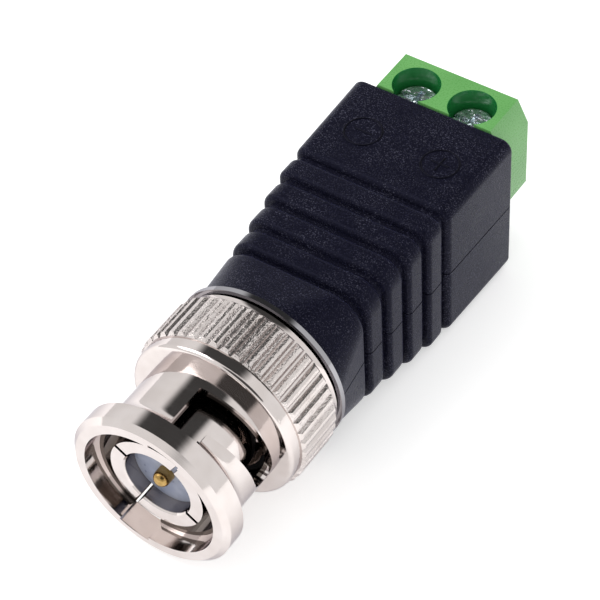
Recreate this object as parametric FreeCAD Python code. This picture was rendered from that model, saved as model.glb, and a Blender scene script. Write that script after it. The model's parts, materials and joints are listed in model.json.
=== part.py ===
"""Adapter from a bayonet coax plug to a two-way screw terminal block.

The plug's axis lies along Y. Its mouth faces -Y and the terminal block faces +Y.
+Z is the side with the terminal screws. The origin is the centre of the contact
sleeve's front face. Lengths are in millimetres, angles in degrees.
Angles round the plug's axis are counted from +X towards +Z.
"""
import FreeCAD, Part
import math
import os

V = FreeCAD.Vector

# Clearances and seams
running_gap = 0.05
loose_gap = 0.10
seam_gap = 0.12
seam_depth = 0.5

# Contact sleeve and centre pin
sleeve_r = 4.05
sleeve_bore_r = 2.85
sleeve_length = 12.0
sleeve_root_r = 4.45
sleeve_root_y = 7.0
sleeve_edge = 0.15
slot_width = 0.30
slot_length = 2.6
slot_count = 4
slot_turn = 57.0
pin_r = 0.675
pin_tip_y = 0.1
pin_nose_r = 0.62
pin_collar_r = 1.3
pin_collar_half = 0.6
pin_tail_r = 0.9
pin_tail_end = 24.5
cup_bore_r = 0.62
cup_depth = 2.2
front_insulator_y = 1.3

# Plug body: a turned stem that the nut rides on
collar_y = 7.65
collar_length = 0.95
collar_r = 5.75
stem_r = 4.9
stem_neck_r = 3.65
flange_y = 15.1
flange_length = 1.5
flange_r = 4.6
tube_r = 3.3
tube_bore_r = 2.6
tube_end = 21.5
insulator_recess = 1.0
gasket_length = 0.6

# Coupling nut
mouth_y = -1.0
mouth_r = 5.65
mouth_depth = 1.5
nut_bore_r = 5.05
rim_r = 6.9
rim_edge = 0.45
rim_length = 1.95
neck_r = 5.7
neck_fillet = 1.6
neck_end = 6.8
shoulder_r = 7.1
shoulder_edge = 0.35
knurl_y = 7.95
knurl_r = 7.45
knurl_length = 4.35
knurl_count = 46
knurl_depth = 0.28
knurl_bevel = 0.25
nut_tail_r = 7.05
nut_tail_length = 0.70
counterbore_r = 5.9
counterbore_end_wall = 0.9
ring_groove_r = 6.35
ring_groove_width = 0.7

# Bayonet windows, two of them, half a turn apart
channel_start = 58.0
channel_end = 84.0
channel_r = 5.95
cam_end = -8.0
cam_front_y = 2.6
cam_front_rise = 1.55
cam_rear_y = 5.35
cam_rear_rise = 0.98
stud_slot_r = 1.05

# Spring pack between the plug body's collar and the nut
wave_thickness = 0.25
wave_count = 3
thrust_length = 0.7
thrust_r = 5.8
retaining_ring_r = 5.05
retaining_gap = 14.0

# Cover ring at the front of the housing, a little smaller than the knurl
cover_ring_y = 13.1
cover_ring_length = 0.4
cover_ring_step = 0.15
cover_ring_r = knurl_r - cover_ring_step

# Plastic housing in two shells
housing_front_r = 6.75
front_corner = 6.2
waist_half_width = 6.1
waist_half_height = 5.85
waist_corner = 2.3
box_front = 28.2
box_half_width = 6.95
box_half_height = 6.75
box_corner = 1.0
housing_rear = 37.65
housing_step = 0.25
housing_flatness = 0.35
rear_half_width = knurl_r - housing_step
rear_half_height = rear_half_width - housing_flatness
housing_z = -0.45
rib_count = 4
rib_pitch = 2.47
rib_groove = 0.5
groove_depth = 0.55
rib_round = 0.42
edge_round = 0.6
rear_round = 0.3
shell_wall = 1.25
chamber_front_wall = 1.4
chamber_half_width = 4.7
chamber_top = 4.2
chamber_bottom = -4.8
chamber_corner = 1.5
locating_pin_r = 0.45
locating_pin_height = 1.1
locating_pin_x = 5.65
locating_pin_rear_y = 31.0

# Terminal block: its tongue in the housing, the terminals behind it, then the wire side
block_seat = 3.65
block_front = housing_rear - block_seat
terminal_setback = 5.25
terminal_y = block_front + terminal_setback
wire_side = 2.6
block_rear = terminal_y + wire_side
block_half_width = 6.1
block_top_half_width = 5.15
block_bevel = 1.95
block_top = 6.5
block_bottom = -1.95
terminal_pitch = 5.08
well_r = 1.94
ledge_top = 3.85
ledge_thickness = 0.5
ledge_hole_r = 1.35
cage_room_width = 4.1
cage_room_length = 3.6
block_floor = 0.6
entry_width = 3.1
entry_bottom = -1.1
entry_top = 1.9
entry_lead_in = 0.35

# Clamp cage, screw and fixed contact of one terminal
cage_wall = 0.5
cage_plate = 0.8
cage_travel = 0.9
screw_head_r = 1.7
screw_head_length = 1.0
screw_r = 1.2
drive_slot = 0.45
drive_depth = 0.5
leaf_thickness = 0.4
leaf_width = 2.4
leaf_reach = 2.6
leaf_front = block_front - leaf_reach
leaf_end_gap = 0.2

# Ground tag and the two leads
tag_thickness = 0.5
tag_r = 4.3
tag_tail_width = 2.0
tag_tail_z = 3.55
tag_tail_end = 24.2
lead_r = 0.5
signal_bend = 1.4
ground_bend = 1.8
lead_end = 0.4
touch_gap = 0.02


def box(x0, x1, y0, y1, z0, z1):
    return Part.makeBox(x1 - x0, y1 - y0, z1 - z0, V(x0, y0, z0))


def rod_y(radius, y0, y1, x=0.0, z=0.0):
    return Part.makeCylinder(radius, y1 - y0, V(x, y0, z), V(0, 1, 0))


def rod_z(radius, z0, z1, x, y):
    return Part.makeCylinder(radius, z1 - z0, V(x, y, z0), V(0, 0, 1))


def around(phi, radius, y):
    """The point at an angle, a radius and a place along the plug's axis."""
    turn = math.radians(phi)
    return V(radius * math.cos(turn), y, radius * math.sin(turn))


def turned(profile, angle=360.0, start=0.0):
    """Revolve a closed outline of (y, r) points about the plug's axis."""
    points = [V(r, y, 0) for y, r in profile]
    face = Part.Face(Part.makePolygon(points + [points[0]]))
    solid = face.revolve(V(0, 0, 0), V(0, -1, 0), angle)
    solid.rotate(V(0, 0, 0), V(0, -1, 0), start)
    return solid


def fuse(first, *rest):
    return first.multiFuse(list(rest)).removeSplitter()


def half_turn(shape):
    other = shape.copy()
    other.rotate(V(0, 0, 0), V(0, 1, 0), 180)
    return other


def closed_solid(faces):
    """Sew faces that share their edges into one solid."""
    shell = Part.makeCompound(faces)
    shell.sewShape(0.001)
    solid = Part.makeSolid(Part.Shell(shell.Faces))
    if solid.Volume < 0:
        solid.reverse()
    return solid


# Contact sleeve, insulators and centre pin

def contact_sleeve():
    sleeve = turned([
        (0, sleeve_r), (0, sleeve_bore_r + sleeve_edge), (sleeve_edge, sleeve_bore_r),
        (sleeve_length, sleeve_bore_r), (sleeve_length, sleeve_root_r), (sleeve_root_y, sleeve_root_r),
        (sleeve_root_y, sleeve_r)])
    half = slot_width / 2
    for index in range(slot_count):
        slot = box(0, 2 * sleeve_r, -1, slot_length, -half, half)
        slot.rotate(V(0, 0, 0), V(0, -1, 0), slot_turn + index * 360.0 / slot_count)
        sleeve = sleeve.cut(slot)
    return sleeve


def front_insulator():
    rod = rod_y(sleeve_bore_r, front_insulator_y, sleeve_length)
    rod = rod.cut(rod_y(pin_r, 0, sleeve_length))
    return rod.cut(rod_y(pin_collar_r, sleeve_length - pin_collar_half, sleeve_length))


def rear_insulator():
    rod = rod_y(tube_bore_r, sleeve_length, tube_end - insulator_recess)
    rod = rod.cut(rod_y(pin_tail_r, sleeve_length, tube_end))
    return rod.cut(rod_y(pin_collar_r, sleeve_length, sleeve_length + pin_collar_half))


def centre_pin():
    """A pin with a rounded nose, a locating collar and a solder cup at its tail."""
    pin = rod_y(pin_r, pin_tip_y, sleeve_length)
    nose = [edge for edge in pin.Edges if abs(edge.BoundBox.YMax - pin_tip_y) < 1e-4]
    pin = pin.makeFillet(pin_nose_r, nose)
    collar = rod_y(pin_collar_r, sleeve_length - pin_collar_half, sleeve_length + pin_collar_half)
    tail = rod_y(pin_tail_r, sleeve_length, pin_tail_end)
    cup = rod_y(cup_bore_r, pin_tail_end - cup_depth, pin_tail_end)
    return fuse(pin, collar, tail).cut(cup)


# Plug body and gasket

def plug_body():
    collar_end = collar_y + collar_length
    return turned([
        (collar_y, sleeve_root_r), (collar_y, collar_r), (collar_end, collar_r), (collar_end, stem_r),
        (housing_front(), stem_r), (housing_front(), stem_neck_r), (flange_y, stem_neck_r), (flange_y, flange_r),
        (flange_y + flange_length, flange_r),
        (flange_y + flange_length, tube_r), (tube_end, tube_r), (tube_end, tube_bore_r),
        (sleeve_length, tube_bore_r), (sleeve_length, sleeve_root_r)])


def gasket():
    inner = sleeve_root_r + running_gap
    outer = nut_bore_r - loose_gap
    front = collar_y - gasket_length
    return turned([(front, inner), (collar_y, inner), (collar_y, outer), (front, outer)])


# Coupling nut

def helix_edge(radius, phi0, phi1, y0, y1, steps=12):
    """A curve on a cylinder whose place along the axis changes evenly with its angle."""
    points = []
    for index in range(steps + 1):
        share = index / steps
        points.append(around(phi0 + share * (phi1 - phi0), radius, y0 + share * (y1 - y0)))
    curve = Part.BSplineCurve()
    curve.interpolate(points)
    return curve.toShape()


def rear_edge_y(phi):
    """Where the window's rear edge lies: one even helix from the channel to the seat."""
    share = (phi - channel_end) / (cam_end - channel_end)
    return cam_rear_y + share * cam_rear_rise


def window_wedge(phi0, phi1, front, inner, outer):
    """A stretch of the window between two angles. Its front and rear edges each rise evenly."""
    rear = (rear_edge_y(phi0), rear_edge_y(phi1))
    front_in = helix_edge(inner, phi0, phi1, *front)
    front_out = helix_edge(outer, phi0, phi1, *front)
    rear_in = helix_edge(inner, phi0, phi1, *rear)
    rear_out = helix_edge(outer, phi0, phi1, *rear)
    pairs = ((front_in, front_out), (front_out, rear_out), (rear_out, rear_in), (rear_in, front_in))
    faces = [Part.makeRuledSurface(first, second) for first, second in pairs]
    for phi, end in ((phi0, 0), (phi1, 1)):
        corners = [around(phi, inner, front[end]), around(phi, outer, front[end]),
                   around(phi, outer, rear[end]), around(phi, inner, rear[end])]
        faces.append(Part.Face(Part.makePolygon(corners + [corners[0]])))
    return closed_solid(faces)


def bayonet_cut():
    """One bayonet: stud channel under the rim, open window, cam slot and the round seat at its end."""
    inner = nut_bore_r - 0.5
    outer = rim_r + 1.0
    rim_end = mouth_y + rim_length
    channel = turned([(mouth_y - 1, inner), (cam_front_y, inner), (cam_front_y, channel_r),
                      (mouth_y - 1, channel_r)], channel_end - channel_start, channel_start)
    window = window_wedge(channel_end, channel_start, (rim_end, rim_end), inner, outer)
    cam = window_wedge(channel_start, cam_end, (cam_front_y, cam_front_y + cam_front_rise), inner, outer)
    seat_y = rear_edge_y(cam_end) - stud_slot_r
    seat = Part.makeCylinder(stud_slot_r, outer - inner, around(cam_end, inner, seat_y),
                             around(cam_end, 1, 0))
    return [channel, window, cam, seat]


def knurled_band():
    """Straight rounded ridges, all round, bevelled at both ends."""
    points = []
    step = 360.0 / knurl_count
    for index in range(knurl_count):
        for share, radius in ((0.0, knurl_r - knurl_depth), (0.16, knurl_r - knurl_depth),
                              (0.36, knurl_r - 0.04), (0.58, knurl_r), (0.80, knurl_r - 0.04)):
            points.append(around((index + share) * step, radius, knurl_y))
    face = Part.Face(Part.makePolygon(points + [points[0]]))
    band = face.extrude(V(0, knurl_length, 0))
    end = knurl_y + knurl_length
    bevelled = turned([(knurl_y, 0), (knurl_y, knurl_r - knurl_bevel), (knurl_y + knurl_bevel, knurl_r),
                       (end - knurl_bevel, knurl_r), (end, knurl_r - knurl_bevel), (end, 0)])
    return band.common(bevelled)


def nut_blank():
    """The nut's outer form: rim, hollow neck, shoulder and tail, before boring."""
    rim_end = mouth_y + rim_length
    centre_r = neck_r + neck_fillet
    reach = math.sqrt(neck_fillet ** 2 - (centre_r - rim_r) ** 2)
    centre_y = rim_end + reach
    middle = math.radians(225)
    fillet_middle = V(centre_r + neck_fillet * math.sin(middle), centre_y + neck_fillet * math.cos(middle), 0)
    tail_y = knurl_y + knurl_length
    nut_end = tail_y + nut_tail_length
    start = V(0, mouth_y, 0)
    corner = [start, V(rim_r - rim_edge, mouth_y, 0), V(rim_r, mouth_y + rim_edge, 0), V(rim_r, rim_end, 0)]
    edges = [Part.makeLine(corner[i], corner[i + 1]) for i in range(3)]
    edges.append(Part.Arc(corner[3], fillet_middle, V(neck_r, centre_y, 0)).toShape())
    foot = V(neck_r, neck_end, 0)
    edges.append(Part.makeLine(V(neck_r, centre_y, 0), foot))
    bend = shoulder_edge * (1 - math.sqrt(0.5))
    lip = V(shoulder_r - shoulder_edge, neck_end, 0)
    top = V(shoulder_r, neck_end + shoulder_edge, 0)
    edges.append(Part.makeLine(foot, lip))
    edges.append(Part.Arc(lip, V(shoulder_r - bend, neck_end + bend, 0), top).toShape())
    rest = [top, V(shoulder_r, tail_y, 0), V(nut_tail_r, tail_y + 0.1, 0), V(nut_tail_r, nut_end - 0.2, 0),
            V(nut_tail_r - 0.2, nut_end, 0), V(0, nut_end, 0), start]
    edges += [Part.makeLine(rest[i], rest[i + 1]) for i in range(len(rest) - 1)]
    face = Part.Face(Part.Wire(edges))
    return face.revolve(V(0, 0, 0), V(0, 1, 0), 360)


def ring_groove_y():
    return knurl_y + knurl_length + nut_tail_length - counterbore_end_wall - ring_groove_width


def coupling_nut():
    nut = fuse(nut_blank(), knurled_band())
    nut_end = knurl_y + knurl_length + nut_tail_length
    shoulder = collar_y - running_gap
    groove = ring_groove_y()
    bore = turned([
        (mouth_y - 1, 0), (mouth_y - 1, mouth_r), (mouth_y + mouth_depth, mouth_r),
        (mouth_y + mouth_depth, nut_bore_r), (shoulder, nut_bore_r), (shoulder, counterbore_r),
        (groove, counterbore_r), (groove, ring_groove_r), (groove + ring_groove_width, ring_groove_r),
        (groove + ring_groove_width, counterbore_r), (nut_end + 1, counterbore_r), (nut_end + 1, 0)])
    cutters = bayonet_cut()
    return nut.cut([bore] + cutters + [half_turn(cutter) for cutter in cutters])


# Spring pack

def washer(y0, y1, inner, outer):
    return turned([(y0, inner), (y1, inner), (y1, outer), (y0, outer)])


def retaining_ring():
    groove = ring_groove_y()
    ring = washer(groove + running_gap, groove + ring_groove_width - running_gap,
                  retaining_ring_r, ring_groove_r - running_gap)
    half = math.radians(retaining_gap / 2)
    reach = 2 * ring_groove_r
    corners = [V(0, groove, 0), V(reach, groove, -reach * math.tan(half)), V(reach, groove, reach * math.tan(half))]
    gap = Part.Face(Part.makePolygon(corners + [corners[0]])).extrude(V(0, ring_groove_width, 0))
    return ring.cut(gap)


def thrust_washer():
    end = ring_groove_y() - running_gap
    return washer(end - thrust_length, end, stem_r + loose_gap, thrust_r)


def wave_curve(radius, middle, swing):
    """A closed curve round the stem that rises and falls."""
    steps = 12 * wave_count
    points = []
    for index in range(steps):
        phi = index * 360.0 / steps
        points.append(around(phi, radius, middle + swing * math.cos(math.radians(wave_count * phi))))
    curve = Part.BSplineCurve()
    curve.interpolate(Points=points, PeriodicFlag=True)
    return curve.toShape()


def wave_washer():
    front = collar_y + collar_length + touch_gap
    end = ring_groove_y() - running_gap - thrust_length - touch_gap
    swing = (end - front - wave_thickness) / 2
    low = front + swing
    high = low + wave_thickness
    inner = stem_r + loose_gap
    outer = collar_r - loose_gap
    loops = [wave_curve(inner, low, swing), wave_curve(outer, low, swing),
             wave_curve(outer, high, swing), wave_curve(inner, high, swing)]
    return closed_solid([Part.makeRuledSurface(loops[i], loops[(i + 1) % 4]) for i in range(4)])


# Housing

def housing_front():
    return cover_ring_y + cover_ring_length


def waist_y():
    return box_front - rib_count * rib_pitch


def skin(y):
    """Half width, half height and corner radius of the housing's section at a place.

    It starts round, is squarest and narrowest behind the round front, and widens to the rear.
    """
    stations = (
        (housing_front(), housing_front_r, housing_front_r, front_corner),
        (waist_y(), waist_half_width, waist_half_height, waist_corner),
        (box_front, box_half_width, box_half_height, box_corner),
        (housing_rear, rear_half_width, rear_half_height, box_corner))
    index = sum(1 for station in stations[1:-1] if y > station[0])
    before, after = stations[index], stations[index + 1]
    share = (y - before[0]) / (after[0] - before[0])
    return [first + (second - first) * share for first, second in zip(before[1:], after[1:])]


def section(y, inset=0.0):
    """A rounded rectangle across the housing, a given depth inside its skin."""
    width, height, corner = skin(y)
    middle = housing_z
    w, h, c = width - inset, height - inset, max(corner - inset, 0.3)
    k = c * (1 - math.sqrt(0.5))
    edges = []
    for sx, sz in ((1, 1), (-1, 1), (-1, -1), (1, -1)):
        side = V(sx * w, y, middle + sz * (h - c))
        bend = V(sx * (w - k), y, middle + sz * (h - k))
        flat = V(sx * (w - c), y, middle + sz * h)
        ends = (side, flat) if sx * sz > 0 else (flat, side)
        edges.append(Part.Arc(ends[0], bend, ends[1]).toShape())
    closed = []
    for index, edge in enumerate(edges):
        following = edges[(index + 1) % 4]
        closed.append(edge)
        closed.append(Part.makeLine(edge.Vertexes[-1].Point, following.Vertexes[0].Point))
    return Part.Wire(closed)


def skin_loft(places, inset=0.0):
    return Part.makeLoft([section(y, inset) for y in places], True, True)


def round_ends(solid, radius, ends):
    """Round the edges that lie wholly in the given planes across the axis."""
    chosen = [edge for edge in solid.Edges
              if any(abs(edge.BoundBox.YMin - y) < 1e-4 and abs(edge.BoundBox.YMax - y) < 1e-4 for y in ends)]
    return solid.makeFillet(radius, chosen)


def rib(start):
    """One straight rib: the skin's section at the rib's middle, with both ends rounded."""
    length = rib_pitch - rib_groove
    face = Part.Face(section(start + length / 2))
    face.translate(V(0, -length / 2, 0))
    return round_ends(face.extrude(V(0, length, 0)), rib_round, [start, start + length])


def housing_outside():
    """Plain front, ribs with rounded edges, then the straight box, all on one core."""
    front = housing_front()
    half_groove = rib_groove / 2
    parts = [skin_loft([front, waist_y(), box_front, box_front + 1], groove_depth)]
    collar_end = waist_y() - half_groove
    collar = skin_loft([front, collar_end])
    parts.append(round_ends(collar, rib_round, [front, collar_end]))
    for index in range(rib_count):
        parts.append(rib(waist_y() + index * rib_pitch + half_groove))
    box_start = box_front + half_groove
    main = skin_loft([box_start, housing_rear])
    main = round_ends(main, edge_round, [box_start])
    parts.append(round_ends(main, rear_round, [housing_rear]))
    return parts[0].multiFuse(parts[1:])


def rounded_room(y0, y1):
    """The open room inside the housing, with rounded long edges."""
    room = box(-chamber_half_width, chamber_half_width, y0, y1, chamber_bottom, chamber_top)
    long_edges = [e for e in room.Edges if e.BoundBox.YLength > 0.9 * (y1 - y0)]
    return room.makeFillet(chamber_corner, long_edges)


def housing_inside():
    """Seats for the plug body and its tag, the wiring room and the block's pocket."""
    front = housing_front()
    seat_end = flange_y + flange_length + tag_thickness + running_gap
    room_start = seat_end + chamber_front_wall
    cuts = [
        rod_y(stem_neck_r + running_gap, front - 1, flange_y),
        rod_y(flange_r + running_gap, flange_y - running_gap, seat_end),
        rod_y(tube_r + running_gap, seat_end, room_start),
        rounded_room(room_start, block_front),
        box(-tag_tail_width / 2 - loose_gap, tag_tail_width / 2 + loose_gap, seat_end - 0.1, room_start + 0.1,
            tag_tail_z - loose_gap, tag_tail_z + tag_thickness + loose_gap),
        box(-pocket_half_width(), pocket_half_width(), block_front, housing_rear + 1,
            block_bottom - running_gap, pocket_top())]
    return cuts[0].multiFuse(cuts[1:])


def pocket_half_width():
    return box_half_width - shell_wall


def pocket_top():
    return housing_z + box_half_height - shell_wall


def shells():
    """Both shells, parted at mid height, with a fine seam and locating pins."""
    whole = housing_outside().cut(housing_inside())
    front = housing_front()
    wide = 2 * rear_half_width
    end = housing_rear + 1
    seam = box(-wide, wide, front - 1, end, housing_z - seam_gap / 2, housing_z + seam_gap / 2)
    kept = skin_loft([front, waist_y(), box_front, end], groove_depth + seam_depth)
    whole = whole.cut(seam.cut(kept))
    upper = whole.common(box(-wide, wide, 0, end, housing_z, wide))
    lower = whole.common(box(-wide, wide, 0, end, -wide, housing_z))
    for y in (waist_y() + 2.5 * rib_pitch, locating_pin_rear_y):
        for side in (-locating_pin_x, locating_pin_x):
            pin = rod_z(locating_pin_r, housing_z - 0.5, housing_z + locating_pin_height, side, y)
            hole = rod_z(locating_pin_r + loose_gap, housing_z, housing_z + locating_pin_height + loose_gap, side, y)
            lower = lower.fuse(pin)
            upper = upper.cut(hole)
    return upper.removeSplitter(), lower.removeSplitter()


# Terminal block

def terminal_places():
    return (("left", -terminal_pitch / 2), ("right", terminal_pitch / 2))


def block_head():
    """The end that shows: a prism with bevelled upper sides."""
    shoulder = block_top - block_bevel
    corners = [V(-block_half_width, housing_rear, block_bottom), V(block_half_width, housing_rear, block_bottom),
               V(block_half_width, housing_rear, shoulder), V(block_top_half_width, housing_rear, block_top),
               V(-block_top_half_width, housing_rear, block_top), V(-block_half_width, housing_rear, shoulder)]
    face = Part.Face(Part.makePolygon(corners + [corners[0]]))
    return face.extrude(V(0, block_rear - housing_rear, 0))


def cage_room(x):
    half_x, half_y = cage_room_width / 2, cage_room_length / 2
    return box(x - half_x, x + half_x, terminal_y - half_y, terminal_y + half_y,
               block_bottom + block_floor, ledge_top - ledge_thickness)


def cage_span():
    """Bottom and top of the open cage: the room's height less the travel and two gaps."""
    bottom = block_bottom + block_floor + running_gap
    return bottom, ledge_top - ledge_thickness - running_gap - cage_travel


def wire_entry(x):
    """A flared square mouth that guides a stripped wire into the cage."""
    room_end = terminal_y + cage_room_length / 2
    half = entry_width / 2
    passage = box(x - half, x + half, room_end - 0.1, block_rear + 0.1, entry_bottom, entry_top)
    rings = []
    for y, grow in ((block_rear - entry_lead_in, 0.0), (block_rear + 0.01, entry_lead_in)):
        corners = [V(x - half - grow, y, entry_bottom - grow), V(x + half + grow, y, entry_bottom - grow),
                   V(x + half + grow, y, entry_top + grow), V(x - half - grow, y, entry_top + grow)]
        rings.append(Part.makePolygon(corners + [corners[0]]))
    return passage.fuse(Part.makeLoft(rings, True, True))


def leaf_top():
    """The fixed contact lies just under the cage's top plate when the clamp is open."""
    return cage_span()[1] - cage_plate - touch_gap


def leaf_strip(x):
    half = leaf_width / 2
    end = terminal_y + cage_room_length / 2 - leaf_end_gap
    top = leaf_top()
    return box(x - half, x + half, leaf_front, end, top - leaf_thickness, top)


def terminal_block():
    inner = pocket_half_width() - running_gap
    tongue = box(-inner, inner, block_front, housing_rear, block_bottom, pocket_top() - running_gap)
    block = fuse(tongue, block_head())
    for _, x in terminal_places():
        block = block.cut(rod_z(well_r, ledge_top, block_top + 1, x, terminal_y))
        block = block.cut(rod_z(ledge_hole_r, ledge_top - ledge_thickness - 0.1, ledge_top + 0.1, x, terminal_y))
        block = block.cut(cage_room(x)).cut(wire_entry(x)).cut(leaf_strip(x))
    return block


def clamp_cage(x):
    """A square loop that the screw draws up to squeeze the wire against the fixed contact."""
    half_x = cage_room_width / 2 - loose_gap
    half_y = cage_room_length / 2 - loose_gap
    z0, z1 = cage_span()
    cage = box(x - half_x, x + half_x, terminal_y - half_y, terminal_y + half_y, z0, z1)
    window = box(x - half_x + cage_wall, x + half_x - cage_wall, terminal_y - half_y - 1, terminal_y + half_y + 1,
                 z0 + cage_wall, z1 - cage_plate)
    return cage.cut(window).cut(rod_z(screw_r + running_gap, z1 - cage_plate - 0.1, z1 + 0.1, x, terminal_y))


def terminal_screw(x):
    """A pan head with a slot and a cross, which turns in place under the ledge."""
    seat = ledge_top + running_gap
    top = seat + screw_head_length
    head = rod_z(screw_head_r, seat, top, x, terminal_y)
    rim = [edge for edge in head.Edges if abs(edge.BoundBox.ZMin - top) < 1e-4]
    head = head.makeFillet(0.25, rim)
    screw = fuse(head, rod_z(screw_r, leaf_top() + running_gap, seat + 0.1, x, terminal_y))
    half = drive_slot / 2
    floor = top - drive_depth
    slot = box(x - 2 * screw_head_r, x + 2 * screw_head_r, terminal_y - half, terminal_y + half, floor, top + 1)
    cross = box(x - half, x + half, terminal_y - 0.6 * screw_head_r, terminal_y + 0.6 * screw_head_r, floor, top + 1)
    return screw.cut(slot).cut(cross)


# Ground tag and leads

def ground_tag():
    """A ring tag behind the flange, with a tail bent back into the wiring room."""
    y0 = flange_y + flange_length
    half = tag_tail_width / 2
    ring = washer(y0, y0 + tag_thickness, tube_r, tag_r)
    tail = box(-half, half, y0, tag_tail_end, tag_tail_z, tag_tail_z + tag_thickness)
    return fuse(ring, tail)


def lead(points):
    """A round insulated wire: straight runs joined by arcs that touch them."""
    path = []
    here = points[0]
    for index in range(1, len(points) - 1):
        before = points[index] - points[index - 1]
        after = points[index + 1] - points[index]
        turn = before.getAngle(after)
        back = 0.45 * min(before.Length, after.Length)
        start = points[index] - before.normalize() * back
        end = points[index] + after.normalize() * back
        radius = back / math.tan(turn / 2)
        inward = (end - start).cross(before.cross(after)).normalize()
        if inward.dot(points[index] - start) < 0:
            inward = inward * -1
        rise = radius * (1 - math.cos(turn / 2))
        middle = (start + end) * 0.5 + inward * rise
        path.append(Part.makeLine(here, start))
        path.append(Part.Arc(start, middle, end).toShape())
        here = end
    path.append(Part.makeLine(here, points[-1]))
    ring = Part.Wire(Part.makeCircle(lead_r, points[0], points[1] - points[0]))
    return Part.Wire(path).makePipeShell([ring], True, False)


def lead_height():
    return leaf_top() + lead_r + touch_gap


def signal_lead():
    x = terminal_pitch / 2
    start = pin_tail_end - cup_depth + 0.2
    z = lead_height()
    return lead([V(0, start, 0), V(0, pin_tail_end + 1.2, 0), V(x, leaf_front - signal_bend, z),
                 V(x, block_front - lead_end, z)])


def ground_lead():
    x = -terminal_pitch / 2
    z = tag_tail_z - lead_r - touch_gap
    return lead([V(0, tube_end + 0.3, z), V(0, tag_tail_end + 0.8, z),
                 V(x, leaf_front - ground_bend, lead_height()), V(x, block_front - lead_end, lead_height())])


def build():
    upper, lower = shells()
    pieces = {
        "coupling_nut": coupling_nut(),
        "retaining_ring": retaining_ring(),
        "thrust_washer": thrust_washer(),
        "wave_washer": wave_washer(),
        "contact_sleeve": contact_sleeve(),
        "plug_body": plug_body(),
        "gasket": gasket(),
        "front_insulator": front_insulator(),
        "rear_insulator": rear_insulator(),
        "centre_pin": centre_pin(),
        "cover_ring": washer(cover_ring_y, cover_ring_y + cover_ring_length, stem_r, cover_ring_r),
        "upper_shell": upper,
        "lower_shell": lower,
        "terminal_block": terminal_block(),
        "ground_tag": ground_tag(),
        "signal_lead": signal_lead(),
        "ground_lead": ground_lead()}
    for side, x in terminal_places():
        pieces["clamp_cage_" + side] = clamp_cage(x)
        pieces["terminal_screw_" + side] = terminal_screw(x)
        pieces["contact_leaf_" + side] = leaf_strip(x)
    return pieces


os.makedirs("parts", exist_ok=True)
for name, shape in build().items():
    solids = shape.Solids
    print(name, "solids", len(solids), "valid", shape.isValid(), "volume", round(shape.Volume, 2))
    solids[0].exportStep("parts/" + name + ".step")
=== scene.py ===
"""Looks of the coaxial terminal block adapter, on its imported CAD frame.

The CAD pieces keep their shapes and get their finishes here. The scene adds the polarity
marks on the housing, the floor, the studio light and the camera of the photograph.
Lengths are in metres, in the frame of the CAD: the plug's mouth faces -Y, screws face +Z.
"""
import bmesh
import bpy
import json
import math
from mathutils import Matrix, Vector


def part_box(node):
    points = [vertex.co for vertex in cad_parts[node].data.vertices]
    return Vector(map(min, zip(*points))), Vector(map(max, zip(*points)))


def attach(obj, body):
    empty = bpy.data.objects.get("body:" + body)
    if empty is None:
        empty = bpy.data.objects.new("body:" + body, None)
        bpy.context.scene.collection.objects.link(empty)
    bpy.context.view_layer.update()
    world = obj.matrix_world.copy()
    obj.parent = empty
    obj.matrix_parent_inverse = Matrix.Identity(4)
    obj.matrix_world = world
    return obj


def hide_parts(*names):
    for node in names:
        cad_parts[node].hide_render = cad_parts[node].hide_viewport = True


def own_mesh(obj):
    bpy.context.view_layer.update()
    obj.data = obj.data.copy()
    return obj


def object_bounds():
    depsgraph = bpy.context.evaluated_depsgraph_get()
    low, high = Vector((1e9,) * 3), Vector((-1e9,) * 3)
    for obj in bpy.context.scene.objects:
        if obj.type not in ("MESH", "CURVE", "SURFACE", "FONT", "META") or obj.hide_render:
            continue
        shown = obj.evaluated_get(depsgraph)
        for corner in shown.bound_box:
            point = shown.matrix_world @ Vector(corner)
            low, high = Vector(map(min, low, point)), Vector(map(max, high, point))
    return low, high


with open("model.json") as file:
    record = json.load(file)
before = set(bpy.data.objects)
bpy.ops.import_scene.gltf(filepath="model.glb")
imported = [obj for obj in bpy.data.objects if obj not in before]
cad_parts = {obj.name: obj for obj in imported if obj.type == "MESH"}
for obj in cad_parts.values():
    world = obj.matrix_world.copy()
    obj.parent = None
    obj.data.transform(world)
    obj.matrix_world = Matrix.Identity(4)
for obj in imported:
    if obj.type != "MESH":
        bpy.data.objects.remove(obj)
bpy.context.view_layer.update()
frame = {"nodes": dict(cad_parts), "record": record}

MM = 0.001

# Place and size of the polarity marks on the housing's top, and how deep their lines are sunk in
MARK_Y = 32.7 * MM
MARK_LEFT_X = -3.3 * MM
MARK_RIGHT_X = 3.65 * MM
MARK_RING = 1.5 * MM
MARK_STROKE = 0.75 * MM
MARK_LINE = 0.1 * MM
MARK_SINK = 0.3 * MARK_LINE

# The knurl's ends along the plug's axis, where the plating is coarse
KNURL_START = 7.95 * MM
KNURL_END = 12.3 * MM

# Radii within which the insides of the nut and the sleeve are darkened, as painted shade in their bores
NUT_SHADED_BORE = 5.4 * MM
SLEEVE_SHADED_BORE = 2.88 * MM

# Past the rim of the cover ring, which is stamped and dull all over
RING_REACH = 8 * MM

# The sleeve's sawn slots, whose walls get painted shade: turn of the first one, just over half their width,
# and their inner end
SLOT_TURN = math.radians(57)
SLOT_HALF = 0.17 * MM
SLOT_END = 2.65 * MM

# The screwdriver wells of the terminal block: their places, and just over their radius
WELL_X = 2.54 * MM
WELL_Y = 39.25 * MM
WELL_RADIUS = 1.96 * MM

# Corners closer than this are joined, and edges that turn by more than this stay sharp
WELD_GAP = 0.0005 * MM
SHARP_TURN = math.radians(32)


def linear(code):
    """Linear colour of an sRGB hex value."""
    channels = [int(code[i:i + 2], 16) / 255 for i in (1, 3, 5)]
    return tuple(c / 12.92 if c <= 0.04045 else ((c + 0.055) / 1.055) ** 2.4 for c in channels) + (1.0,)


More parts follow.
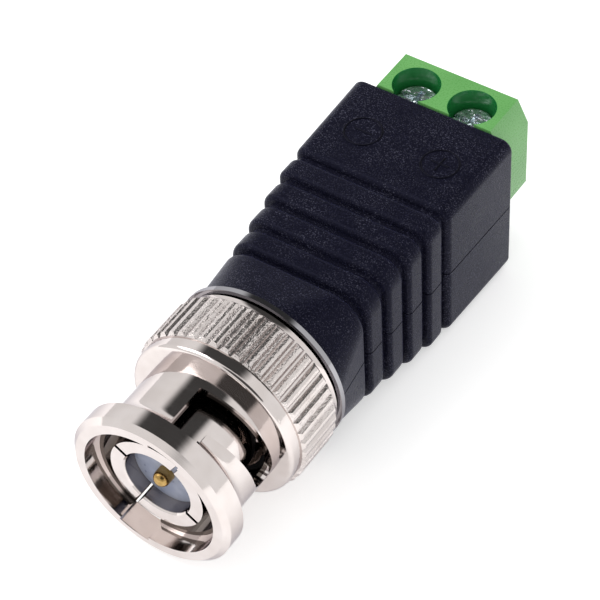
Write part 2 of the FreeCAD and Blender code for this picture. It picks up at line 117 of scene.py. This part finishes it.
def add_node(tree, kind, settings=None, inputs=None):
    """Add a node, set its properties, then fill or link its inputs."""
    node = tree.nodes.new(kind)
    for name, value in (settings or {}).items():
        setattr(node, name, value)
    for name, value in (inputs or {}).items():
        if isinstance(value, bpy.types.NodeSocket):
            tree.links.new(value, node.inputs[name])
        else:
            node.inputs[name].default_value = value
    return node


def new_finish(name, **inputs):
    """A material with one Principled shader; plain values go straight onto its sockets."""
    material = bpy.data.materials.new(name)
    material.use_nodes = True
    tree = material.node_tree
    tree.nodes.clear()
    shader = add_node(tree, "ShaderNodeBsdfPrincipled", inputs=inputs)
    add_node(tree, "ShaderNodeOutputMaterial", inputs={"Surface": shader.outputs["BSDF"]})
    place = add_node(tree, "ShaderNodeTexCoord").outputs["Object"]
    return material, tree, shader, place


# Finishes

def bright_nickel_plate(name, knurled=False, shaded_slots=False, shade_and_dull_radius=None, shade_and_dull_tint="#6E6660"):
    """Bright nickel on turned brass: a warm mirror, greyer at its edges, with tool lines and ripples.

    On the nut, the rolled knurl takes it as coarse sparkling grain. Within a given radius the colour is
    darkened:
    painted shade inside the bores of the nut and the sleeve, and the cover ring's own flat grey tone all
    over.
    On the sleeve, the walls of the slots are painted dark, as painted shade."""
    material, tree, shader, place = new_finish(name, **{"Metallic": 1.0, "Specular Tint": linear("#CAC8CC")})
    # Tool lines run round the axis, so the pattern is drawn out across it. Their real pitch is 0.1 mm,
    # drawn at 0.3 mm to show.
    along = add_node(tree, "ShaderNodeMapping", inputs={
        "Vector": place, "Scale": (40, 3300, 40)}).outputs["Vector"]
    lines = add_node(tree, "ShaderNodeTexNoise", inputs={"Vector": along, "Scale": 1.0, "Detail": 2.0})
    # Ripples of 1.5 mm where the plating levelled itself.
    ripple = add_node(tree, "ShaderNodeTexNoise", inputs={"Vector": place, "Scale": 650.0, "Detail": 1.0})
    tint = add_node(tree, "ShaderNodeValToRGB", inputs={"Fac": ripple.outputs["Fac"]})
    tint.color_ramp.elements[0].position = 0.3
    tint.color_ramp.elements[0].color = linear("#DCD3CF")
    tint.color_ramp.elements[1].position = 0.7
    tint.color_ramp.elements[1].color = linear("#E4DCD9")
    polish = add_node(tree, "ShaderNodeMapRange", inputs={
        "Value": lines.outputs["Fac"], "From Min": 0.3, "From Max": 0.75,
        "To Min": 0.06, "To Max": 0.12}).outputs[0]
    first = add_node(tree, "ShaderNodeBump", inputs={
        "Height": lines.outputs["Fac"], "Strength": 0.14, "Distance": 0.02 * MM})
    second = add_node(tree, "ShaderNodeBump", inputs={
        "Height": ripple.outputs["Fac"], "Strength": 0.12, "Distance": 0.05 * MM,
        "Normal": first.outputs["Normal"]})
    base, rough, normal = tint.outputs["Color"], polish, second.outputs["Normal"]
    parts = add_node(tree, "ShaderNodeSeparateXYZ", inputs={"Vector": place}).outputs
    if knurled:
        after = add_node(tree, "ShaderNodeMapRange", inputs={
            "Value": parts["Y"], "From Min": KNURL_START, "From Max": KNURL_START + 0.1 * MM}).outputs[0]
        before = add_node(tree, "ShaderNodeMapRange", inputs={
            "Value": parts["Y"], "From Min": KNURL_END, "From Max": KNURL_END - 0.1 * MM}).outputs[0]
        knurl = add_node(tree, "ShaderNodeMath", {"operation": "MULTIPLY"}, {0: after, 1: before}).outputs[0]
        grain = add_node(tree, "ShaderNodeTexNoise", inputs={"Vector": place, "Scale": 6500.0, "Detail": 2.0})
        added_roughness = 0.12
        rough = add_node(tree, "ShaderNodeMath", {"operation": "MULTIPLY_ADD"}, {
            0: knurl, 1: added_roughness, 2: polish}).outputs[0]
        normal = add_node(tree, "ShaderNodeBump", inputs={
            "Height": grain.outputs["Fac"], "Strength": knurl, "Distance": 0.05 * MM,
            "Normal": normal}).outputs["Normal"]
    # Painted shade inside the bores of the nut and the sleeve; on the cover ring, its own flat grey tone all
    # over.
    if shade_and_dull_radius:
        flat = add_node(tree, "ShaderNodeCombineXYZ", inputs={"X": parts["X"], "Z": parts["Z"]}).outputs[0]
        radius = add_node(tree, "ShaderNodeVectorMath", {"operation": "LENGTH"}, {0: flat}).outputs["Value"]
        shade_and_dull = add_node(tree, "ShaderNodeMath", {"operation": "LESS_THAN"}, {
            0: radius, 1: shade_and_dull_radius}).outputs[0]
        base = add_node(tree, "ShaderNodeMix", {"data_type": "RGBA"}, {
            "Factor": shade_and_dull, "A": base, "B": linear(shade_and_dull_tint)}).outputs["Result"]
    # Painted shade: the walls of the sleeve's slots are darkened.
    if shaded_slots:
        nearest = None
        for turn in (SLOT_TURN, SLOT_TURN + math.pi / 2):
            across = (math.sin(turn), 0, -math.cos(turn))
            offset = add_node(tree, "ShaderNodeVectorMath", {"operation": "DOT_PRODUCT"}, {
                0: place, 1: across})
            off = add_node(tree, "ShaderNodeMath", {"operation": "ABSOLUTE"}, {
                0: offset.outputs["Value"]}).outputs[0]
            nearest = off if nearest is None else add_node(tree, "ShaderNodeMath", {
                "operation": "MINIMUM"}, {0: nearest, 1: off}).outputs[0]
        in_slot = add_node(tree, "ShaderNodeMath", {"operation": "LESS_THAN"}, {
            0: nearest, 1: SLOT_HALF}).outputs[0]
        near = add_node(tree, "ShaderNodeMath", {"operation": "LESS_THAN"}, {
            0: parts["Y"], 1: SLOT_END}).outputs[0]
        slot_shade = add_node(tree, "ShaderNodeMath", {"operation": "MULTIPLY"}, {0: in_slot, 1: near}).outputs[0]
        base = add_node(tree, "ShaderNodeMix", {"data_type": "RGBA"}, {
            "Factor": slot_shade, "A": base, "B": linear("#2E2926")}).outputs["Result"]
    tree.links.new(base, shader.inputs["Base Color"])
    tree.links.new(rough, shader.inputs["Roughness"])
    tree.links.new(normal, shader.inputs["Normal"])
    return material


def gold_plate():
    """Thin gold over nickel on the centre contact: deep yellow, slightly soft reflections."""
    material, tree, shader, place = new_finish("gold_plate", **{"Metallic": 1.0})
    wear = add_node(tree, "ShaderNodeTexNoise", inputs={"Vector": place, "Scale": 2500.0, "Detail": 3.0})
    tint = add_node(tree, "ShaderNodeValToRGB", inputs={"Fac": wear.outputs["Fac"]})
    tint.color_ramp.elements[0].position = 0.35
    tint.color_ramp.elements[0].color = linear("#A8874F")
    tint.color_ramp.elements[1].position = 0.7
    tint.color_ramp.elements[1].color = linear("#C6A76C")
    rough = add_node(tree, "ShaderNodeMapRange", inputs={
        "Value": wear.outputs["Fac"], "To Min": 0.14, "To Max": 0.3})
    tree.links.new(tint.outputs["Color"], shader.inputs["Base Color"])
    tree.links.new(rough.outputs["Result"], shader.inputs["Roughness"])
    return material


def zinc_plated_steel():
    """Bright zinc on headed steel screws: cool silver, hazy, with scratches and dents from the barrel."""
    material, tree, shader, place = new_finish("zinc_plated_steel", **{"Metallic": 0.9})
    # Dents of 0.7 mm and scratches 0.1 mm wide.
    dents = add_node(tree, "ShaderNodeTexNoise", inputs={"Vector": place, "Scale": 1400.0, "Detail": 2.0})
    scratch = add_node(tree, "ShaderNodeMapping", inputs={
        "Vector": place, "Rotation": (0, 0, 0.6), "Scale": (9000, 900, 900)}).outputs["Vector"]
    fine = add_node(tree, "ShaderNodeTexNoise", inputs={"Vector": scratch, "Scale": 1.0, "Detail": 2.0})
    tint = add_node(tree, "ShaderNodeValToRGB", inputs={"Fac": dents.outputs["Fac"]})
    tint.color_ramp.elements[0].position = 0.3
    tint.color_ramp.elements[0].color = linear("#CFDCE2")
    tint.color_ramp.elements[1].position = 0.7
    tint.color_ramp.elements[1].color = linear("#F0F7FA")
    rough = add_node(tree, "ShaderNodeMapRange", inputs={
        "Value": fine.outputs["Fac"], "To Min": 0.08, "To Max": 0.22})
    first = add_node(tree, "ShaderNodeBump", inputs={
        "Height": dents.outputs["Fac"], "Strength": 1.0, "Distance": 0.4 * MM})
    second = add_node(tree, "ShaderNodeBump", inputs={
        "Height": fine.outputs["Fac"], "Strength": 0.25, "Distance": 0.01 * MM,
        "Normal": first.outputs["Normal"]})
    tree.links.new(tint.outputs["Color"], shader.inputs["Base Color"])
    tree.links.new(rough.outputs["Result"], shader.inputs["Roughness"])
    tree.links.new(second.outputs["Normal"], shader.inputs["Normal"])
    return material


def spring_steel():
    """Stamped spring steel: grey, with a drawn grain."""
    material, tree, shader, place = new_finish("spring_steel", **{
        "Metallic": 1.0, "Base Color": linear("#A9A9AC")})
    grain = add_node(tree, "ShaderNodeTexNoise", inputs={"Vector": place, "Scale": 3000.0, "Detail": 2.0})
    rough = add_node(tree, "ShaderNodeMapRange", inputs={
        "Value": grain.outputs["Fac"], "To Min": 0.25, "To Max": 0.4})
    tree.links.new(rough.outputs["Result"], shader.inputs["Roughness"])
    return material


def tinned_copper():
    """Hot-tinned copper strip: pale, soft and slightly cloudy."""
    material, tree, shader, place = new_finish("tinned_copper", **{
        "Metallic": 1.0, "Base Color": linear("#CFCFCD")})
    cloud = add_node(tree, "ShaderNodeTexNoise", inputs={"Vector": place, "Scale": 1200.0, "Detail": 3.0})
    rough = add_node(tree, "ShaderNodeMapRange", inputs={
        "Value": cloud.outputs["Fac"], "To Min": 0.28, "To Max": 0.45})
    tree.links.new(rough.outputs["Result"], shader.inputs["Roughness"])
    return material


def textured_black_plastic():
    """Black ABS from a spark-eroded tool: nearly black, bluish, with pale specks painted on its grain as
    glints.
    """
    material, tree, shader, place = new_finish("textured_black_plastic", **{
        "IOR": 1.5, "Specular IOR Level": 0.085, "Specular Tint": linear("#C0C2F4"),
        "Sheen Weight": 0.08, "Sheen Roughness": 0.4, "Sheen Tint": linear("#A0A4FF")})
    # Pits of about 0.15 mm, single raised grains of 0.1 mm, and a sheen that wanders over 3 mm.
    pits = add_node(tree, "ShaderNodeTexNoise", inputs={
        "Vector": place, "Scale": 6000.0, "Detail": 3.0, "Roughness": 0.65})
    specks = add_node(tree, "ShaderNodeTexNoise", inputs={"Vector": place, "Scale": 10000.0, "Detail": 1.0})
    grains = add_node(tree, "ShaderNodeMapRange", inputs={
        "Value": specks.outputs["Fac"], "From Min": 0.58, "From Max": 0.7}).outputs[0]
    sheen = add_node(tree, "ShaderNodeTexNoise", inputs={"Vector": place, "Scale": 350.0, "Detail": 3.0})
    glint_patches = add_node(tree, "ShaderNodeMapRange", inputs={
        "Value": sheen.outputs["Fac"], "From Min": 0.4, "From Max": 0.6, "To Min": 0.25}).outputs[0]
    shown = add_node(tree, "ShaderNodeMath", {"operation": "MULTIPLY"}, {0: grains, 1: glint_patches}).outputs[0]
    tint = add_node(tree, "ShaderNodeValToRGB", inputs={"Fac": pits.outputs["Fac"]})
    tint.color_ramp.elements[0].position = 0.35
    tint.color_ramp.elements[0].color = linear("#0D0D17")
    tint.color_ramp.elements[1].position = 0.75
    tint.color_ramp.elements[1].color = linear("#151522")
    # Painted highlights: pale specks on the raised grains, gathered in patches, stand in for glints.
    base_with_painted_glints = add_node(tree, "ShaderNodeMix", {"data_type": "RGBA"}, {
        "Factor": shown, "A": tint.outputs["Color"], "B": linear("#494955")}).outputs["Result"]
    rough = add_node(tree, "ShaderNodeMapRange", inputs={
        "Value": sheen.outputs["Fac"], "From Min": 0.3, "From Max": 0.7, "To Min": 0.24, "To Max": 0.34})
    first = add_node(tree, "ShaderNodeBump", inputs={
        "Height": pits.outputs["Fac"], "Strength": 0.5, "Distance": 0.04 * MM})
    second = add_node(tree, "ShaderNodeBump", inputs={
        "Height": grains, "Strength": 0.8, "Distance": 0.05 * MM, "Normal": first.outputs["Normal"]})
    tree.links.new(base_with_painted_glints, shader.inputs["Base Color"])
    tree.links.new(rough.outputs["Result"], shader.inputs["Roughness"])
    tree.links.new(second.outputs["Normal"], shader.inputs["Normal"])
    return material


def polished_black_plastic():
    """The same ABS where the tool was polished, on the marks' lines: smooth, darker, faintly shiny."""
    material, tree, shader, place = new_finish("polished_black_plastic", **{
        "IOR": 1.5, "Specular IOR Level": 0.12, "Specular Tint": linear("#C0C2F4")})
    flow = add_node(tree, "ShaderNodeTexNoise", inputs={"Vector": place, "Scale": 1500.0, "Detail": 1.0})
    tint = add_node(tree, "ShaderNodeValToRGB", inputs={"Fac": flow.outputs["Fac"]})
    tint.color_ramp.elements[0].color = linear("#04040A")
    tint.color_ramp.elements[1].color = linear("#090912")
    rough = add_node(tree, "ShaderNodeMapRange", inputs={
        "Value": flow.outputs["Fac"], "To Min": 0.2, "To Max": 0.3})
    tree.links.new(tint.outputs["Color"], shader.inputs["Base Color"])
    tree.links.new(rough.outputs["Result"], shader.inputs["Roughness"])
    return material


def green_polyamide():
    """Green polyamide of terminal blocks: satin, slightly uneven in colour where it flowed.

    Polished core pins form the screwdriver wells, so their walls are glossy; their darker, deeper green is
    painted shade."""
    material, tree, shader, place = new_finish("green_polyamide", **{"IOR": 1.56})
    flow = add_node(tree, "ShaderNodeTexNoise", inputs={"Vector": place, "Scale": 260.0, "Detail": 2.0})
    grain = add_node(tree, "ShaderNodeTexNoise", inputs={"Vector": place, "Scale": 6000.0, "Detail": 2.0})
    tint = add_node(tree, "ShaderNodeValToRGB", inputs={"Fac": flow.outputs["Fac"]})
    tint.color_ramp.elements[0].position = 0.3
    tint.color_ramp.elements[0].color = linear("#5F9F55")
    tint.color_ramp.elements[1].position = 0.7
    tint.color_ramp.elements[1].color = linear("#69A95E")
    rough = add_node(tree, "ShaderNodeMapRange", inputs={
        "Value": grain.outputs["Fac"], "To Min": 0.22, "To Max": 0.34})
    relief = add_node(tree, "ShaderNodeBump", inputs={
        "Height": grain.outputs["Fac"], "Strength": 0.12, "Distance": 0.02 * MM})
    parts = add_node(tree, "ShaderNodeSeparateXYZ", inputs={"Vector": place}).outputs
    side = add_node(tree, "ShaderNodeMath", {"operation": "ABSOLUTE"}, {0: parts["X"]}).outputs[0]
    off_x = add_node(tree, "ShaderNodeMath", {"operation": "SUBTRACT"}, {0: side, 1: WELL_X}).outputs[0]
    off_y = add_node(tree, "ShaderNodeMath", {"operation": "SUBTRACT"}, {0: parts["Y"], 1: WELL_Y}).outputs[0]
    flat = add_node(tree, "ShaderNodeCombineXYZ", inputs={"X": off_x, "Y": off_y}).outputs[0]
    radius = add_node(tree, "ShaderNodeVectorMath", {"operation": "LENGTH"}, {0: flat}).outputs["Value"]
    well_shade_and_gloss = add_node(tree, "ShaderNodeMath", {"operation": "LESS_THAN"}, {
        0: radius, 1: WELL_RADIUS}).outputs[0]
    # Painted shade: the walls of the screwdriver wells are darkened to a deeper green.
    base = add_node(tree, "ShaderNodeMix", {"data_type": "RGBA"}, {
        "Factor": well_shade_and_gloss, "A": tint.outputs["Color"], "B": linear("#217A3C")}).outputs["Result"]
    added_roughness = -0.1
    gloss = add_node(tree, "ShaderNodeMath", {"operation": "MULTIPLY_ADD"}, {
        0: well_shade_and_gloss, 1: added_roughness, 2: rough.outputs["Result"]}).outputs[0]
    tree.links.new(base, shader.inputs["Base Color"])
    tree.links.new(gloss, shader.inputs["Roughness"])
    tree.links.new(relief.outputs["Normal"], shader.inputs["Normal"])
    return material


def pale_insulator():
    """Turned polyethylene insulator: milky, pale blue, lets some light in."""
    material, tree, shader, place = new_finish("pale_insulator", **{
        "IOR": 1.5, "Subsurface Weight": 0.35, "Subsurface Scale": 1.2 * MM,
        "Subsurface Radius": (1.0, 1.0, 1.2)})
    turned = add_node(tree, "ShaderNodeTexNoise", inputs={"Vector": place, "Scale": 900.0, "Detail": 2.0})
    tint = add_node(tree, "ShaderNodeValToRGB", inputs={"Fac": turned.outputs["Fac"]})
    tint.color_ramp.elements[0].position = 0.3
    tint.color_ramp.elements[0].color = linear("#8F96AD")
    tint.color_ramp.elements[1].position = 0.7
    tint.color_ramp.elements[1].color = linear("#A9AFC2")
    rough = add_node(tree, "ShaderNodeMapRange", inputs={
        "Value": turned.outputs["Fac"], "To Min": 0.22, "To Max": 0.36})
    tree.links.new(tint.outputs["Color"], shader.inputs["Base Color"])
    tree.links.new(rough.outputs["Result"], shader.inputs["Roughness"])
    return material


def soft_seal_rubber():
    """Black silicone of the seal in the nut: matt, a little dusty."""
    material, tree, shader, place = new_finish("soft_seal_rubber", **{"IOR": 1.42, "Roughness": 0.62})
    dust = add_node(tree, "ShaderNodeTexNoise", inputs={"Vector": place, "Scale": 2200.0, "Detail": 3.0})
    tint = add_node(tree, "ShaderNodeValToRGB", inputs={"Fac": dust.outputs["Fac"]})
    tint.color_ramp.elements[0].color = linear("#17171A")
    tint.color_ramp.elements[1].color = linear("#2B2B2E")
    tree.links.new(tint.outputs["Color"], shader.inputs["Base Color"])
    return material


def wire_insulation(name, dark, light):
    """Extruded soft vinyl on the inner leads: even colour, dull shine, a faint wave in the colour."""
    material, tree, shader, place = new_finish(name, **{"IOR": 1.52, "Roughness": 0.4})
    wave = add_node(tree, "ShaderNodeTexNoise", inputs={"Vector": place, "Scale": 700.0, "Detail": 2.0})
    tint = add_node(tree, "ShaderNodeValToRGB", inputs={"Fac": wave.outputs["Fac"]})
    tint.color_ramp.elements[0].color = linear(dark)
    tint.color_ramp.elements[1].color = linear(light)
    tree.links.new(tint.outputs["Color"], shader.inputs["Base Color"])
    return material


def finish_cad_pieces():
    """Each CAD piece takes the finish of its slot in the record."""
    finishes = {
        "nickel_plate": bright_nickel_plate("bright_nickel_plate"),
        "gold_plate": gold_plate(),
        "spring_steel": spring_steel(),
        "zinc_plated_steel": zinc_plated_steel(),
        "tinned_copper": tinned_copper(),
        "black_plastic": textured_black_plastic(),
        "green_plastic": green_polyamide(),
        "clear_insulator": pale_insulator(),
        "gasket_rubber": soft_seal_rubber(),
        "red_insulation": wire_insulation("red_vinyl_insulation", "#A81718", "#B8201F"),
        "black_insulation": wire_insulation("black_vinyl_insulation", "#18181A", "#232326")}
    # The nut and the sleeve get painted shade in their bores, and the sleeve also in its slots; the cover
    # ring is dull all over.
    own = {"coupling_nut": bright_nickel_plate("knurled_nickel_plate", knurled=True, shade_and_dull_radius=NUT_SHADED_BORE),
           "contact_sleeve": bright_nickel_plate(
               "slotted_nickel_plate", shaded_slots=True, shade_and_dull_radius=SLEEVE_SHADED_BORE, shade_and_dull_tint="#A39D9B"),
           "cover_ring": bright_nickel_plate("dull_nickel_plate", shade_and_dull_radius=RING_REACH, shade_and_dull_tint="#A9A8AC")}
    slots = {part["node"]: part["material_slot"] for part in frame["record"]["subparts"]}
    for name, piece in frame["nodes"].items():
        piece.data.materials.clear()
        piece.data.materials.append(own.get(name, finishes[slots[name]]))
        round_shading(piece)


def round_shading(piece):
    """Join the loose triangles when shown, and shade round faces smooth up to their real edges."""
    piece.data.polygons.foreach_set("use_smooth", [True] * len(piece.data.polygons))
    weld = piece.modifiers.new("weld", "WELD")
    weld.merge_threshold = WELD_GAP
    split = piece.modifiers.new("edges", "EDGE_SPLIT")
    split.split_angle = SHARP_TURN
    split.use_edge_sharp = False


def flattening_washer():
    """The wave washer's shape as one welded piece, because it flattens as the nut slides forwards."""
    name = "sprung_wave_washer"
    mesh = frame["nodes"]["wave_washer"].data.copy()
    mesh.name = name
    solid = bmesh.new()
    solid.from_mesh(mesh)
    bmesh.ops.remove_doubles(solid, verts=solid.verts, dist=WELD_GAP)
    solid.to_mesh(mesh)
    solid.free()
    washer = bpy.data.objects.new(name, mesh)
    bpy.context.scene.collection.objects.link(washer)
    round_shading(washer)
    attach(washer, "housing")
    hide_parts("wave_washer")
    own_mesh(washer)


# Polarity marks

def mark_tree():
    """Raised lines of a mark: a ring with one stroke or two, swept with a fine round section."""
    tree = bpy.data.node_groups.new("polarity_mark", "GeometryNodeTree")
    face = tree.interface
    face.new_socket("Geometry", in_out="OUTPUT", socket_type="NodeSocketGeometry")
    for name, value in (("Ring radius", MARK_RING), ("Stroke half length", MARK_STROKE),
                        ("Line radius", MARK_LINE)):
        socket = face.new_socket(name, in_out="INPUT", socket_type="NodeSocketFloat")
        socket.default_value = value
    face.new_socket("Second stroke", in_out="INPUT", socket_type="NodeSocketBool")
    face.new_socket("Finish", in_out="INPUT", socket_type="NodeSocketMaterial")
    given = add_node(tree, "NodeGroupInput").outputs
    half = given["Stroke half length"]
    less = add_node(tree, "ShaderNodeMath", {"operation": "MULTIPLY"}, {0: half, 1: -1.0}).outputs[0]
    ring = add_node(tree, "GeometryNodeCurvePrimitiveCircle", inputs={
        "Resolution": 64, "Radius": given["Ring radius"]})
    strokes = []
    for axis in ("X", "Y"):
        start = add_node(tree, "ShaderNodeCombineXYZ", inputs={axis: less}).outputs[0]
        end = add_node(tree, "ShaderNodeCombineXYZ", inputs={axis: half}).outputs[0]
        strokes.append(add_node(tree, "GeometryNodeCurvePrimitiveLine", inputs={
            "Start": start, "End": end}).outputs[0])
    second = add_node(tree, "GeometryNodeSwitch", {"input_type": "GEOMETRY"}, {
        "Switch": given["Second stroke"], "True": strokes[1]}).outputs[0]
    lines = add_node(tree, "GeometryNodeJoinGeometry")
    for curve in (ring.outputs["Curve"], strokes[0], second):
        tree.links.new(curve, lines.inputs[0])
    profile = add_node(tree, "GeometryNodeCurvePrimitiveCircle", inputs={
        "Resolution": 10, "Radius": given["Line radius"]})
    swept = add_node(tree, "GeometryNodeCurveToMesh", inputs={
        "Curve": lines.outputs[0], "Profile Curve": profile.outputs["Curve"], "Fill Caps": True})
    smooth = add_node(tree, "GeometryNodeSetShadeSmooth", inputs={0: swept.outputs[0]})
    real = add_node(tree, "GeometryNodeRealizeInstances", inputs={0: smooth.outputs[0]})
    finish = add_node(tree, "GeometryNodeSetMaterial", inputs={
        0: real.outputs[0], "Material": given["Finish"]})
    add_node(tree, "NodeGroupOutput", inputs={"Geometry": finish.outputs[0]})
    return tree


def grown_piece(name, tree, values):
    """Run a tree with its named values, and keep the result as a plain mesh."""
    host = bpy.data.objects.new(name + "_host", bpy.data.meshes.new(name + "_host"))
    bpy.context.scene.collection.objects.link(host)
    modifier = host.modifiers.new("grow", "NODES")
    modifier.node_group = tree
    for item in tree.interface.items_tree:
        if item.in_out == "INPUT" and item.name in values:
            modifier[item.identifier] = values[item.name]
    bpy.context.view_layer.update()
    evaluated = host.evaluated_get(bpy.context.evaluated_depsgraph_get())
    mesh = bpy.data.meshes.new_from_object(evaluated)
    bpy.data.objects.remove(host)
    mesh.name = name
    piece = bpy.data.objects.new(name, mesh)
    bpy.context.scene.collection.objects.link(piece)
    return piece


def housing_top(y):
    """Height of the housing's flat top between the grooves and the rear end."""
    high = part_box("upper_shell")[1]
    box_front, front_height, rear_height = 28.2 * MM, 6.3 * MM, high.z
    return front_height + (rear_height - front_height) * (y - box_front) / (high.y - box_front)


def polarity_marks(finish):
    """Minus over the ground terminal on the left, plus over the signal terminal on the right."""
    tree = mark_tree()
    slope = math.atan2(housing_top(MARK_Y + MM) - housing_top(MARK_Y), MM)
    for name, x, is_plus in (("minus_mark", MARK_LEFT_X, False), ("plus_mark", MARK_RIGHT_X, True)):
        mark = grown_piece(name, tree, {"Second stroke": is_plus, "Finish": finish})
        place = Matrix.Translation((x, MARK_Y, housing_top(MARK_Y) - MARK_SINK))
        mark.data.transform(place @ Matrix.Rotation(slope, 4, "X"))
        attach(mark, "housing")


# Studio

def pale_floor():
    """Matt white table that the adapter lies on.

    To the eye and in the metal it glows a little, as in an overexposed cut-out."""
    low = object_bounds()[0].z
    half, overexposure = 0.6, 0.42
    mesh = bpy.data.meshes.new("floor")
    corners = [(-half, -half, low), (half, -half, low), (half, half, low), (-half, half, low)]
    mesh.from_pydata(corners, [], [(0, 1, 2, 3)])
    floor = bpy.data.objects.new("floor", mesh)
    bpy.context.scene.collection.objects.link(floor)
    material, tree, shader, _ = new_finish("white_table", **{
        "Base Color": (0.8, 0.8, 0.8, 1), "Roughness": 0.9, "Specular IOR Level": 0.0,
        "Emission Color": (1, 1, 1, 1)})
    rays = add_node(tree, "ShaderNodeLightPath").outputs
    seen = add_node(tree, "ShaderNodeMath", {"operation": "MAXIMUM"}, {
        0: rays["Is Camera Ray"], 1: rays["Is Glossy Ray"]}).outputs[0]
    glow = add_node(tree, "ShaderNodeMath", {"operation": "MULTIPLY"}, {0: seen, 1: overexposure}).outputs[0]
    tree.links.new(glow, shader.inputs["Emission Strength"])
    mesh.materials.append(material)


def studio_world():
    """White walls all round, with two dark places that glossy surfaces mirror.

    One is the unlit ceiling behind the adapter, the other the room where the photographer stands."""
    world = bpy.data.worlds.new("studio")
    bpy.context.scene.world = world
    world.use_nodes = True
    tree = world.node_tree
    tree.nodes.clear()
    way = add_node(tree, "ShaderNodeTexCoord").outputs["Generated"]
    # Direction of each dark place, the cosines where it begins and is full, and the light left in it.
    ceiling = ((-0.12, 0.54, 0.83), 0.82, 0.93, 0.06)
    photographer = ((0.40, -0.54, 0.74), 0.84, 0.92, 0.08)
    shade = None
    for toward, soft_edge, full_dark, left in (ceiling, photographer):
        nearness = add_node(tree, "ShaderNodeVectorMath", {"operation": "DOT_PRODUCT"}, {
            0: way, 1: toward}).outputs["Value"]
        patch = add_node(tree, "ShaderNodeMapRange", {"interpolation_type": "SMOOTHSTEP"}, {
            "Value": nearness, "From Min": soft_edge, "From Max": full_dark,
            "To Min": 1.0, "To Max": left}).outputs["Result"]
        shade = patch if shade is None else add_node(tree, "ShaderNodeMath", {"operation": "MULTIPLY"}, {
            0: shade, 1: patch}).outputs[0]
    room = add_node(tree, "ShaderNodeBackground", inputs={"Color": shade, "Strength": 0.9})
    plain = add_node(tree, "ShaderNodeBackground", inputs={"Color": (1, 1, 1, 1), "Strength": 1.0})
    mirrored = add_node(tree, "ShaderNodeLightPath").outputs["Is Glossy Ray"]
    mix = add_node(tree, "ShaderNodeMixShader", inputs={
        0: mirrored, 1: plain.outputs["Background"], 2: room.outputs["Background"]})
    add_node(tree, "ShaderNodeOutputWorld", inputs={"Surface": mix.outputs["Shader"]})


def soft_light(name, place, aim, size, power):
    """A square diffuser lamp that faces a point."""
    lamp = bpy.data.lights.new(name, "AREA")
    lamp.size = size
    lamp.energy = power
    holder = bpy.data.objects.new(name, lamp)
    bpy.context.scene.collection.objects.link(holder)
    place, aim = Vector(place), Vector(aim)
    holder.location = place
    holder.rotation_euler = (place - aim).to_track_quat("Z", "Y").to_euler()


def photo_camera():
    """The long lens that was fitted to the photograph: it looks down along the plug from its mouth side."""
    azimuth, elevation, roll = (math.radians(angle) for angle in (36.55, 47.58, -3.75))
    aim, distance = Vector((-0.93, 19.87, 0.40)) * MM, 181.98 * MM
    back = Vector((math.sin(azimuth) * math.cos(elevation), -math.cos(azimuth) * math.cos(elevation),
                   math.sin(elevation)))
    level = Vector((math.cos(azimuth), math.sin(azimuth), 0.0))
    right = level * math.cos(roll) + back.cross(level) * math.sin(roll)
    lens = bpy.data.cameras.new("photo_camera")
    lens.lens = 144.0
    lens.sensor_width = 36.0
    lens.clip_start = 0.01
    camera = bpy.data.objects.new("photo_camera", lens)
    bpy.context.scene.collection.objects.link(camera)
    camera.matrix_world = Matrix((right, back.cross(right), back)).transposed().to_4x4()
    camera.location = aim + back * distance
    bpy.context.scene.camera = camera


finish_cad_pieces()
flattening_washer()
polarity_marks(polished_black_plastic())
pale_floor()
studio_world()
soft_light("key_lamp", place=(-0.3, -0.05, 0.35), aim=(0, 20 * MM, 0), size=0.35, power=0.8)
photo_camera()
bpy.context.scene.view_settings.view_transform = "Standard"
